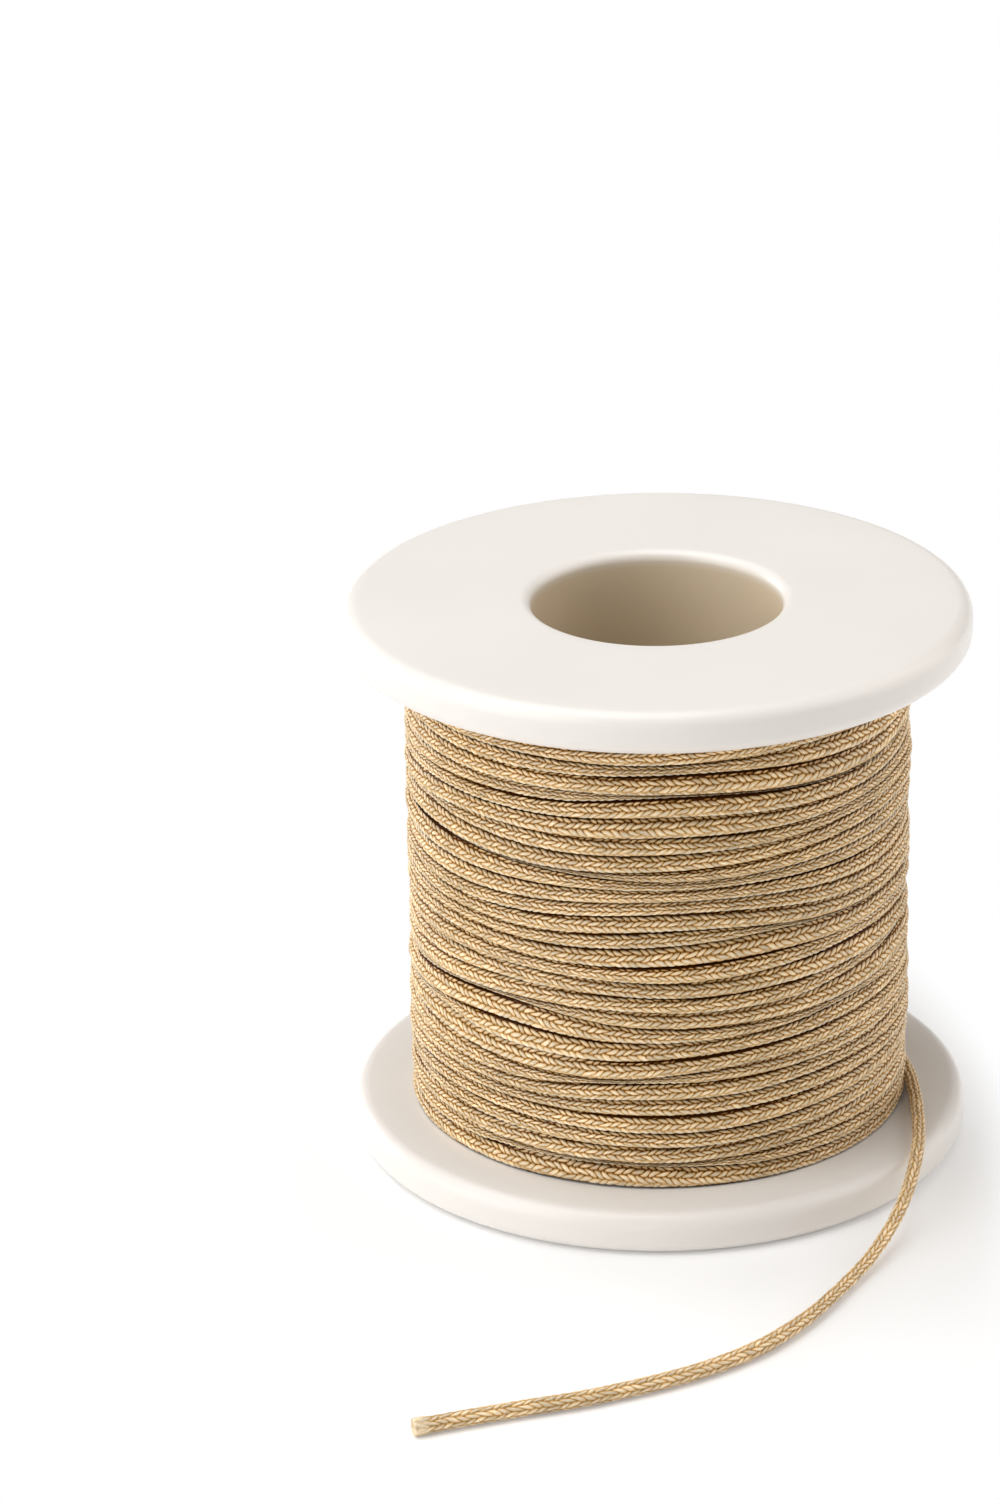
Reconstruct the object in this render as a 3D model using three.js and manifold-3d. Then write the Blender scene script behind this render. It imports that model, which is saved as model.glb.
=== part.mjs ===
// A small plastic spool of braided cord, standing on its lower flange.
//
// Two identical flanges carry the bore and push their hub spigots into a plain
// barrel tube. The cord lies on the barrel: its inner layers are a plain core,
// and its outer layer is one unbroken tube of turns. The free end leaves the
// bottom turn, crosses the lower flange and lies on the table.
//
// Millimetres, +Z up, origin at the centre of the lower flange's outer face.
import * as THREE from 'three';
import * as BufferGeometryUtils from 'three/addons/utils/BufferGeometryUtils.js';
import Module from 'manifold-3d';

// Spool
const spoolHeight = 68.6;
const flangeDiameter = 75;
const flangeThickness = 5.2;
const rimRadius = 1.9;
const boreDiameter = 30;
const boreLipRadius = 1.3;

// Hub spigots and barrel
const spigotLength = 15;
const spigotWall = 2;
const spigotChamfer = 0.6;
const barrelWall = 2.2;
const keyCount = 4;
const keyWidth = 4;
const keyHeight = 3;

// Cord
const cordDiameter = 2;
const windingDiameter = 60.5;
const turnGap = 0.41;
const mostLoops = 24;
const layUnevenness = 0.12;
const unevenTurns = 2.6;
const crossover = 1 / 6;
const exitAngle = 16 * Math.PI / 180;

// Gap between pieces that are seated on, or pushed into, each other
const clearance = 0.3;

// How finely round shapes are cut
const roundSides = 64;
const arcSteps = 4;
const loopSteps = 24;
const loopSides = 6;
const tailSides = 8;
const tailSteps = 26;

// Centre line of the free end: off the bottom turn, over the rim, along the table
const tailPoints = [
  [28.75, 5.85, 6.5],
  [29.3, 3.93, 6.5],
  [30.1, 1, 6.5],
  [30.8, -2.6, 6.5],
  [31.2, -7.5, 6.5],
  [31.3, -12.7, 6.5],
  [31.15, -17.8, 6.5],
  [30.8, -22.1, 6.2],
  [30.1, -26, 5.3],
  [29.2, -29.5, 4.3],
  [27.9, -33.2, 3.2],
  [26.2, -37, 2.15],
  [24.3, -40.8, 1.4],
  [22.1, -44.8, 1.05],
  [19.9, -48.9, 1.05],
  [17.4, -53.2, 1.05],
  [14.6, -57.1, 1.05],
  [11.6, -60.6, 1.05],
  [8, -63.75, 1.05],
  [4.2, -66.4, 1.05],
  [0, -68.7, 1.05],
  [-4.5, -70.8, 1.05],
  [-9.2, -72.7, 1.05],
  [-14, -74.2, 1.05],
  [-19, -75.85, 1.05],
  [-23.5, -77.45, 1.05],
  [-27.1, -78.75, 1.05],
];

const wasm = await Module();
wasm.setup();

const plastic = { color: 0xece8e1, roughness: 0.35, metalness: 0 };
const braid = { color: 0xc4a272, roughness: 0.7, metalness: 0 };

function namedMesh(name, geometry, look) {
  const mesh = new THREE.Mesh(geometry, new THREE.MeshStandardMaterial(look));
  mesh.name = name;
  return mesh;
}

// Closed triangle mesh to a solid that can be cut and joined
function toSolid(geometry) {
  const bare = geometry.clone();
  bare.deleteAttribute('normal');
  bare.deleteAttribute('uv');
  const merged = BufferGeometryUtils.mergeVertices(bare, 1e-4);
  return new wasm.Manifold(new wasm.Mesh({
    numProp: 3,
    vertProperties: merged.attributes.position.array,
    triVerts: Uint32Array.from(merged.index.array),
  }));
}

function toGeometry(solid) {
  const { vertProperties, triVerts } = solid.getMesh();
  const geometry = new THREE.BufferGeometry();
  geometry.setAttribute('position', new THREE.BufferAttribute(vertProperties, 3));
  geometry.setIndex(new THREE.BufferAttribute(triVerts, 1));
  geometry.computeVertexNormals();
  return geometry;
}

// Turns a closed outline of [radius, height] points about the spool's axis
function turned(outline) {
  const closed = [...outline, outline[0]];
  const points = closed.map(([radius, height]) => new THREE.Vector2(radius, height));
  return new THREE.LatheGeometry(points, roundSides).rotateX(Math.PI / 2);
}

// Points of a quarter round, from one angle to the next, both in quarter turns
function quarterRound(radius, height, size, from, to) {
  return Array.from({ length: arcSteps + 1 }, (_, i) => {
    const angle = (from + (to - from) * i / arcSteps) * Math.PI / 2;
    return [radius + size * Math.cos(angle), height + size * Math.sin(angle)];
  });
}

// The two flanges, the barrel and the cord all take their places from these
const flangeRadius = flangeDiameter / 2;
const boreRadius = boreDiameter / 2;
const spigotRadius = boreRadius + spigotWall;
const barrelInnerRadius = spigotRadius + clearance;
const barrelOuterRadius = barrelInnerRadius + barrelWall;
const windingRadius = windingDiameter / 2;
const lowerSeat = flangeThickness + clearance;
const upperSeat = spoolHeight - flangeThickness - clearance;

// Key blocks that stand on a flange's inner face, or the notches that take them
function keyBlocks(width, height, outerRadius) {
  const depth = outerRadius - boreRadius - spigotWall / 2;
  const root = flangeThickness / 2;
  const blocks = [];
  for (let i = 0; i < keyCount; i += 1) {
    const block = new THREE.BoxGeometry(depth, width, height + flangeThickness - root);
    block.translate(outerRadius - depth / 2, 0, (root + flangeThickness + height) / 2);
    block.rotateZ((i + 0.5) * 2 * Math.PI / keyCount);
    blocks.push(block);
  }
  return blocks;
}

// A flange with its bore, rounded rim, hub spigot and keys, outer face at height 0
function flange() {
  const spigotEnd = flangeThickness + spigotLength;
  const outline = [
    ...quarterRound(boreRadius + boreLipRadius, boreLipRadius, boreLipRadius, 2, 3),
    ...quarterRound(flangeRadius - rimRadius, rimRadius, rimRadius, 3, 4),
    ...quarterRound(flangeRadius - rimRadius, flangeThickness - rimRadius, rimRadius, 0, 1),
    [spigotRadius, flangeThickness],
    [spigotRadius, spigotEnd - spigotChamfer],
    [spigotRadius - spigotChamfer, spigotEnd],
    [boreRadius, spigotEnd],
  ];
  let solid = toSolid(turned(outline));
  for (const block of keyBlocks(keyWidth, keyHeight, barrelOuterRadius - clearance)) {
    solid = solid.add(toSolid(block));
  }
  return toGeometry(solid);
}

// The barrel tube between the flanges, notched at both ends for their keys
function barrel() {
  const outline = [
    [barrelInnerRadius, lowerSeat],
    [barrelOuterRadius, lowerSeat],
    [barrelOuterRadius, upperSeat],
    [barrelInnerRadius, upperSeat],
  ];
  let solid = toSolid(turned(outline));
  const notchWidth = keyWidth + 2 * clearance;
  const notchRadius = barrelOuterRadius + barrelWall;
  for (const notch of keyBlocks(notchWidth, keyHeight + clearance, notchRadius)) {
    solid = solid.subtract(toSolid(notch));
    const upperNotch = notch.clone().rotateX(Math.PI).translate(0, 0, spoolHeight);
    solid = solid.subtract(toSolid(upperNotch));
  }
  return toGeometry(solid);
}

// Outer turns: where the centre of the tube runs, from under the upper flange down
const turnRadius = windingRadius - cordDiameter / 2;
const topTurn = upperSeat - cordDiameter / 2;
const bottomTurn = lowerSeat + cordDiameter / 2;
const travel = topTurn - bottomTurn;
const loops = Math.min(mostLoops, Math.floor(travel / (cordDiameter + turnGap)));
const pitch = travel / (loops - 1);

// Turns gone down after a number of loops. At the flanges a loop lies flat and
// steps over to the next turn in a short crossover. Towards the middle of the
// spool this eases into an even helix.
function turnsDown(loop) {
  const whole = Math.floor(loop);
  const step = whole - 1 + THREE.MathUtils.smoothstep(loop - whole, 0, crossover);
  const flatness = Math.abs(2 * loop / loops - 1);
  return loop - 0.5 - flatness * (loop - Math.max(0, step) - 0.5);
}

function windingPoint(loop) {
  const angle = exitAngle - loop * 2 * Math.PI;
  const wave = (1 - Math.cos(loop * 2 * Math.PI / unevenTurns)) / 2;
  const fade = Math.min(1, loop - crossover, loops - loop);
  const radius = turnRadius - layUnevenness * wave * fade;
  const height = topTurn - pitch * turnsDown(loop);
  return new THREE.Vector3(radius * Math.cos(angle), radius * Math.sin(angle), height);
}

// Least gap between stretches of the tube about a loop apart, on its centre points
function leastGap() {
  const perLoop = 4 * loopSteps;
  const centres = [];
  for (let i = crossover * perLoop; i <= loops * perLoop; i += 1) {
    centres.push(windingPoint(i / perLoop));
  }
  let least = Infinity;
  for (let i = 0; i < centres.length; i += 1) {
    const last = Math.min(centres.length - 1, i + perLoop + loopSteps);
    for (let j = i + perLoop - loopSteps; j <= last; j += 1) {
      least = Math.min(least, centres[i].distanceTo(centres[j]) - cordDiameter);
    }
  }
  return least;
}

// One unbroken tube through rings of points, closed by a flat cap at each end
function tubeThroughRings(rings) {
  const sides = rings[0].length;
  const vertices = rings.flat().flatMap((point) => [point.x, point.y, point.z]);
  const faces = [];
  for (let ring = 0; ring < rings.length - 1; ring += 1) {
    for (let side = 0; side < sides; side += 1) {
      const here = ring * sides + side;
      const beside = ring * sides + (side + 1) % sides;
      faces.push(here, beside, here + sides);
      faces.push(beside, beside + sides, here + sides);
    }
  }
  const lastRing = (rings.length - 1) * sides;
  for (let side = 1; side < sides - 1; side += 1) {
    faces.push(0, side + 1, side);
    faces.push(lastRing, lastRing + side, lastRing + side + 1);
  }
  const geometry = new THREE.BufferGeometry();
  geometry.setAttribute('position', new THREE.Float32BufferAttribute(vertices, 3));
  geometry.setIndex(faces);
  geometry.computeVertexNormals();
  return geometry;
}

// The outer layer of turns, running straight for one cord diameter at each end
function outerTurns() {
  const firstStep = Math.round(crossover * loopSteps);
  const lastStep = loops * loopSteps;
  const rings = [];
  for (let i = firstStep - 1; i <= lastStep + 1; i += 1) {
    const loop = THREE.MathUtils.clamp(i, firstStep, lastStep) / loopSteps;
    const angle = exitAngle - loop * 2 * Math.PI;
    const outward = new THREE.Vector3(Math.cos(angle), Math.sin(angle), 0);
    const along = new THREE.Vector3(Math.sin(angle), -Math.cos(angle), 0);
    const centre = windingPoint(loop);
    if (i < firstStep) {
      centre.addScaledVector(along, -cordDiameter);
    }
    if (i > lastStep) {
      centre.addScaledVector(along, cordDiameter);
    }
    rings.push(Array.from({ length: loopSides }, (_, side) => {
      const turn = side * 2 * Math.PI / loopSides;
      return centre.clone()
        .addScaledVector(outward, Math.cos(turn) * cordDiameter / 2)
        .addScaledVector(new THREE.Vector3(0, 0, 1), Math.sin(turn) * cordDiameter / 2);
    }));
  }
  return tubeThroughRings(rings);
}

// The inner layers, a plain core that the stepped outer tube clears all round
function innerLayers() {
  const innerRadius = barrelOuterRadius + clearance;
  const tubeInside = windingRadius - cordDiameter - layUnevenness;
  const outerRadius = tubeInside * Math.cos(Math.PI / loopSteps) - clearance;
  return turned([
    [innerRadius, lowerSeat],
    [outerRadius, lowerSeat],
    [outerRadius, upperSeat],
    [innerRadius, upperSeat],
  ]);
}

// The free end, a tube of the cord's own diameter along its chosen points
function freeEnd() {
  const route = new THREE.CatmullRomCurve3(
    tailPoints.map(([x, y, z]) => new THREE.Vector3(x, y, z)),
  );
  const corners = Array.from({ length: tailSides }, (_, side) => {
    const turn = side * 2 * Math.PI / tailSides;
    return new THREE.Vector2(Math.cos(turn), Math.sin(turn)).multiplyScalar(cordDiameter / 2);
  });
  console.log(`free end of the cord: ${route.getLength().toFixed(1)} mm long`);
  return new THREE.ExtrudeGeometry(new THREE.Shape(corners), {
    steps: tailSteps,
    extrudePath: route,
  });
}

const lowerFlange = namedMesh('flange_bottom', flange(), plastic);
const upperFlange = namedMesh('flange_top', flange(), plastic);
upperFlange.position.z = spoolHeight;
upperFlange.rotation.x = Math.PI;

console.log(`outer turns: ${loops} loops, least gap ${leastGap().toFixed(3)} mm`);

const spool = new THREE.Group();
spool.add(lowerFlange);
spool.add(upperFlange);
spool.add(namedMesh('barrel_tube', barrel(), plastic));
spool.add(namedMesh('cord_inner_layers', innerLayers(), braid));
spool.add(namedMesh('cord_outer_turns', outerTurns(), braid));
spool.add(namedMesh('cord_tail', freeEnd(), braid));

export default spool;
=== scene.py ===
import math

import bpy
import numpy as np
from mathutils import Matrix, Vector


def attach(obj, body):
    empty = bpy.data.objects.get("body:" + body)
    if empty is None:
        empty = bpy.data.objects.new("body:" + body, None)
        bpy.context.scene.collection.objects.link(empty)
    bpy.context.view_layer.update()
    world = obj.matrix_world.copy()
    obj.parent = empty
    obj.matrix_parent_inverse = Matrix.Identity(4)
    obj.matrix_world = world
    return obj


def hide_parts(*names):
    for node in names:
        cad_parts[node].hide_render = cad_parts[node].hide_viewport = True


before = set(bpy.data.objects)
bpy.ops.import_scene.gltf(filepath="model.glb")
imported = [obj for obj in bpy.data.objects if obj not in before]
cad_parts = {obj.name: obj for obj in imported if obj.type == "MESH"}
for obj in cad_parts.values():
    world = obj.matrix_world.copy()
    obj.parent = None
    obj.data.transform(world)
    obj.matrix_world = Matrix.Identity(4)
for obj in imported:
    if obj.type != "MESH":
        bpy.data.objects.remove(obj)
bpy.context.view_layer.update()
mm = 0.001


# CAMERA
# A long lens two thirds of a metre away, looking down on the spool, turned a little to
# the left and held almost level.
eye = (0.0, -583.37 * mm, 293.5 * mm)
turned_left = math.radians(1.8608)
looking_down = math.radians(22.7393)
tilted = math.radians(-0.9664)

lens = bpy.data.cameras.new("lens")
lens.lens = 126.15
lens.sensor_width = 36.0
lens.clip_start = 0.05
lens.clip_end = 50.0
camera = bpy.data.objects.new("camera", lens)
camera.location = eye
yaw = Matrix.Rotation(turned_left, 3, "Z")
pitch = Matrix.Rotation(math.pi / 2 - looking_down, 3, "X")
roll = Matrix.Rotation(tilted, 3, "Z")
camera.rotation_euler = (yaw @ pitch @ roll).to_euler()
bpy.context.scene.collection.objects.link(camera)
bpy.context.scene.camera = camera


# FREE END OF THE CORD
# Soft braid of sixteen fine synthetic yarns, two over two, 2 mm thick. It leaves the
# lowest turn, crosses the lower flange and lies on the table. Its cut end is melted to a
# smooth collar, so that the braid can't open.
cord_diameter = 2.0 * mm
cord_radius = cord_diameter / 2
yarns_each_way = 8
braid_lead = 9.7 * mm
yarn_rise = 0.22 * mm
float_rise = 0.15 * mm
yarn_fullness = 3.6
column_offset = 0.25

# Three waves that make the stitches uneven: how many there are in a lead and round the
# cord, the phase, and how far each shifts the braid along, in leads, and about, in turns.
stitch_waves = [
    (2.7, 1, 1.3, 0.012, -0.008),
    (1.9, -2, 0.4, 0.009, 0.011),
    (4.3, 2, 2.2, 0.006, 0.0),
]

# The middle of the cord, from the lowest turn to the cut end, in millimetres.
route = [
    [28.75, 5.85, 6.5],
    [29.3, 3.93, 6.5],
    [30.1, 1, 6.5],
    [30.8, -2.6, 6.5],
    [31.2, -7.5, 6.5],
    [31.3, -12.7, 6.5],
    [31.15, -17.8, 6.5],
    [30.8, -22.1, 6.2],
    [30.1, -26, 5.3],
    [29.2, -29.5, 4.3],
    [27.9, -33.2, 3.2],
    [26.2, -37, 2.15],
    [24.3, -40.8, 1.4],
    [22.1, -44.8, 1.05],
    [19.9, -48.9, 1.05],
    [17.4, -53.2, 1.05],
    [14.6, -57.1, 1.05],
    [11.6, -60.6, 1.05],
    [8, -63.75, 1.05],
    [4.2, -66.4, 1.05],
    [0, -68.7, 1.05],
    [-4.5, -70.8, 1.05],
    [-9.2, -72.7, 1.05],
    [-14, -74.2, 1.05],
    [-19, -75.85, 1.05],
    [-23.5, -77.45, 1.05],
    [-27.1, -78.75, 1.05],
]


def ease(value, low, high):
    """0 below low and 1 above high, with the cubic 3x^2 - 2x^3 between them."""
    share = np.clip((value - low) / (high - low), 0, 1)
    return share * share * (3 - 2 * share)


def braid_relief(along, around):
    """The height of the braid's surface, 0 at its highest points and negative below them.
    along counts leads of the braid and around counts turns about the cord. Each yarn is
    a round ridge: the square root of one less a multiple of the squared distance from its
    middle. A cosine lifts the right-hand yarns in every other column and the left-hand
    ones in the columns between, and the higher of the two is the surface. Columns lie a
    quarter off the crossings, so that the stitches of one lie between those of the next,
    as in a plait."""
    right_hand = yarns_each_way * (around - along)
    left_hand = yarns_each_way * (around + along)
    lift = float_rise * np.cos(math.pi * (yarns_each_way * around - column_offset))

    def ridge(yarn):
        """The round top of the yarn that a point lies on."""
        off_middle = yarn - np.round(yarn)
        return yarn_rise * np.sqrt(1 - yarn_fullness * off_middle**2)

    higher = np.maximum(ridge(right_hand) + lift, ridge(left_hand) - lift)
    return higher - yarn_rise - float_rise


def uneven_stitches(along, around):
    """Shifts the braid a little along and about the cord, by sine waves two to four
    stitches long that run aslant round it, so that no two stitches are quite alike."""
    shifted_along, shifted_around = along, around
    for in_a_lead, round_cord, phase, shift_along, shift_around in stitch_waves:
        wave = np.sin(2 * math.pi * (in_a_lead * along + round_cord * around) + phase)
        shifted_along = shifted_along + shift_along * wave
        shifted_around = shifted_around + shift_around * wave
    return shifted_along, shifted_around


def even_path(points, spacing):
    """Evenly spaced points on the curve through the given ones, and how far along it each
    of them is. Between two of the given points the curve is a cubic, whose slope at each
    is half the step from the one before it to the one after."""
    fine_steps = 60
    points = np.array(points, float)
    before = np.vstack([2 * points[:1] - points[1:2], points[:-1]])
    after = np.vstack([points[1:], 2 * points[-1:] - points[-2:-1]])
    slope = (after - before) / 2
    s = np.linspace(0, 1, fine_steps, endpoint=False)[None, :, None]
    start, end = points[:-1, None], points[1:, None]
    start_slope, end_slope = slope[:-1, None], slope[1:, None]
    curve = (
        (2 * s**3 - 3 * s**2 + 1) * start
        + (s**3 - 2 * s**2 + s) * start_slope
        + (3 * s**2 - 2 * s**3) * end
        + (s**3 - s**2) * end_slope
    )
    curve = np.vstack([curve.reshape(-1, 3), points[-1:]])
    gone = np.append(0, np.cumsum(np.linalg.norm(np.diff(curve, axis=0), axis=1)))
    wanted = np.linspace(0, gone[-1], 1 + round(gone[-1] / spacing))
    even = np.stack([np.interp(wanted, gone, curve[:, i]) for i in range(3)], axis=1)
    return even, wanted


def skin_mesh(name, rings, along, around, sharp_ends=True):
    """A closed tube through rings of points, an array of ring by side by coordinate, with
    a flat face over each end. along and around, one column more than the rings have, are
    kept as the map that the braid's finish reads. Sharp ends keep the shading of the tube
    smooth up to the end faces, where two pieces of one run meet."""
    count, sides = rings.shape[:2]
    ring, side = np.meshgrid(np.arange(count - 1), np.arange(sides), indexing="ij")
    beside = (side + 1) % sides
    quads = np.stack(
        [
            ring * sides + side,
            (ring + 1) * sides + side,
            (ring + 1) * sides + beside,
            ring * sides + beside,
        ],
        axis=-1,
    ).reshape(-1)
    first_end = np.arange(sides)
    last_end = (count - 1) * sides + np.arange(sides)[::-1]
    corners = np.concatenate([quads, first_end, last_end]).astype(np.int32)
    quad_count = (count - 1) * sides
    starts = np.append(np.arange(quad_count) * 4, quad_count * 4 + np.array([0, sides]))

    mesh = bpy.data.meshes.new(name)
    mesh.vertices.add(count * sides)
    mesh.vertices.foreach_set("co", rings.reshape(-1).astype(np.float32))
    mesh.loops.add(len(corners))
    mesh.loops.foreach_set("vertex_index", corners)
    mesh.polygons.add(quad_count + 2)
    mesh.polygons.foreach_set("loop_start", starts.astype(np.int32))
    mesh.update(calc_edges=True)

    map_ring = np.stack([ring, ring + 1, ring + 1, ring], axis=-1).reshape(-1)
    map_side = np.stack([side, side, side + 1, side + 1], axis=-1).reshape(-1)
    placed = np.stack([along[map_ring, map_side], around[map_ring, map_side]], axis=-1)
    ends = np.stack(
        [
            np.append(along[0, :sides], along[-1, :sides][::-1]),
            np.append(around[0, :sides], around[-1, :sides][::-1]),
        ],
        axis=-1,
    )
    braid_map = mesh.uv_layers.new(name="braid")
    braid_map.data.foreach_set("uv", np.vstack([placed, ends]).reshape(-1).astype(np.float32))
    if sharp_ends:
        edge_ends = np.empty(len(mesh.edges) * 2, np.int32)
        mesh.edges.foreach_get("vertices", edge_ends)
        edge_ends = edge_ends.reshape(-1, 2)
        on_an_end = (edge_ends < sides).all(axis=1)
        on_an_end |= (edge_ends >= (count - 1) * sides).all(axis=1)
        sharp = mesh.attributes.new("sharp_edge", "BOOLEAN", "EDGE")
        sharp.data.foreach_set("value", on_an_end)
    mesh.update()
    mesh.validate()
    return mesh


def place(name, mesh, finish, node):
    """Puts a finished mesh on the spool in place of the node that it stands for."""
    piece = bpy.data.objects.new(name, mesh)
    bpy.context.scene.collection.objects.link(piece)
    mesh.materials.append(finish)
    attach(piece, "root")
    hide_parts(node)
    return piece


def new_node(tree, kind, *values, **settings):
    """Adds a shader node. Its inputs take the values in order: a socket is linked, a
    number or colour is set, and None leaves the input alone."""
    node = tree.nodes.new("ShaderNode" + kind)
    for setting, value in settings.items():
        setattr(node, setting, value)
    for socket, value in zip(node.inputs, values):
        if isinstance(value, bpy.types.NodeSocket):
            tree.links.new(value, socket)
        elif value is not None:
            socket.default_value = value
    return node


def work_out(tree, operation, *values):
    """The result of a Math node on up to three values."""
    return new_node(tree, "Math", *values, operation=operation).outputs[0]


def rescale(tree, value, low, high, at_low, at_high, **settings):
    """The result of a Map Range node: at_low where the value is low, at_high where it is
    high, and even between them."""
    return new_node(tree, "MapRange", value, low, high, at_low, at_high, **settings).outputs[0]


def linear(red, green, blue):
    """A colour on the 0 to 255 scale of a screen, as the linear one that shaders use: the
    usual power of 2.4, with a straight stretch for the darkest."""
    screen = np.array([red, green, blue]) / 255
    straight = np.where(screen < 0.04045, screen / 12.92, ((screen + 0.055) / 1.055) ** 2.4)
    return (*straight, 1.0)


def braid_pattern():
    """The relief of the braid again, for the finish, from the map's two coordinates. It
    also gives how deep a point lies between the yarns, the fine fibres that run along
    the yarn on top, and a tone for each stitch. The depth is a share of the sum of two
    powers: of how far the point is off the middle of the yarn on top, and of how far it
    is off the middle of the stitch. A fibre is noise drawn out along the yarn."""
    steepness = 2.5
    depth_share = 0.85
    fibres_across = 8.0
    fibres_along = 0.8
    fibre_detail = 2.0
    tree = bpy.data.node_groups.new("braid pattern", "ShaderNodeTree")
    for name in ("Along", "Around"):
        tree.interface.new_socket(name, in_out="INPUT", socket_type="NodeSocketFloat")
    for name in ("Relief", "Depth", "Fibre", "Stitch"):
        tree.interface.new_socket(name, in_out="OUTPUT", socket_type="NodeSocketFloat")
    given = tree.nodes.new("NodeGroupInput").outputs
    result = tree.nodes.new("NodeGroupOutput").inputs

    def yarn_number(operation):
        """The yarn of one hand that a point lies on, a whole number at its middle."""
        between = work_out(tree, operation, given["Around"], given["Along"])
        return work_out(tree, "MULTIPLY", between, yarns_each_way)

    def ridge(off_middle):
        """The square root of one less a multiple of the squared distance."""
        squared = work_out(tree, "POWER", off_middle, 2)
        lowered = work_out(tree, "MULTIPLY_ADD", squared, -yarn_fullness, 1)
        return work_out(tree, "SQRT", lowered)

    right_hand = yarn_number("SUBTRACT")
    left_hand = yarn_number("ADD")
    columns = work_out(tree, "MULTIPLY_ADD", given["Around"], yarns_each_way, -column_offset)
    swing = work_out(tree, "COSINE", work_out(tree, "MULTIPLY", columns, math.pi))
    lift = work_out(tree, "MULTIPLY", swing, float_rise / mm)
    drop = work_out(tree, "MULTIPLY", lift, -1)
    off_right = work_out(tree, "PINGPONG", right_hand, 0.5)
    off_left = work_out(tree, "PINGPONG", left_hand, 0.5)
    right_height = work_out(tree, "MULTIPLY_ADD", ridge(off_right), yarn_rise / mm, lift)
    left_height = work_out(tree, "MULTIPLY_ADD", ridge(off_left), yarn_rise / mm, drop)
    relief = work_out(tree, "MAXIMUM", right_height, left_height)
    tree.links.new(relief, result["Relief"])
    right_on_top = work_out(tree, "GREATER_THAN", right_height, left_height)
    off_column = work_out(tree, "PINGPONG", columns, 0.5)
    off_top = new_node(tree, "Mix", right_on_top, None, off_left, off_right).outputs[0]
    across = work_out(tree, "POWER", work_out(tree, "MULTIPLY", off_top, 2), steepness)
    endways = work_out(tree, "POWER", work_out(tree, "MULTIPLY", off_column, 2), steepness)
    off_middle = work_out(tree, "ADD", endways, across)
    depth = work_out(tree, "MINIMUM", work_out(tree, "MULTIPLY", off_middle, depth_share), 1)
    tree.links.new(depth, result["Depth"])

    def fibre_place(across_yarn, along_yarn):
        """Where the noise is read: it is fine across the yarn and drawn out along it."""
        return new_node(
            tree,
            "CombineXYZ",
            work_out(tree, "MULTIPLY", across_yarn, fibres_across),
            work_out(tree, "MULTIPLY", along_yarn, fibres_along),
        ).outputs[0]

    left_fibre = fibre_place(left_hand, right_hand)
    right_fibre = fibre_place(right_hand, left_hand)
    fibre_at = new_node(tree, "MixRGB", right_on_top, left_fibre, right_fibre).outputs[0]
    fibre = new_node(tree, "TexNoise", fibre_at, None, 1.0, fibre_detail)
    tree.links.new(fibre.outputs[0], result["Fibre"])

    column = work_out(tree, "ROUND", columns)
    top_yarn = new_node(tree, "MixRGB", right_on_top, left_hand, right_hand).outputs[0]
    stitch = new_node(tree, "CombineXYZ", work_out(tree, "ROUND", top_yarn), column, right_on_top)
    tone = new_node(tree, "TexWhiteNoise", stitch.outputs[0])
    tree.links.new(tone.outputs[0], result["Stitch"])
    return tree


braid = braid_pattern()


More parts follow.
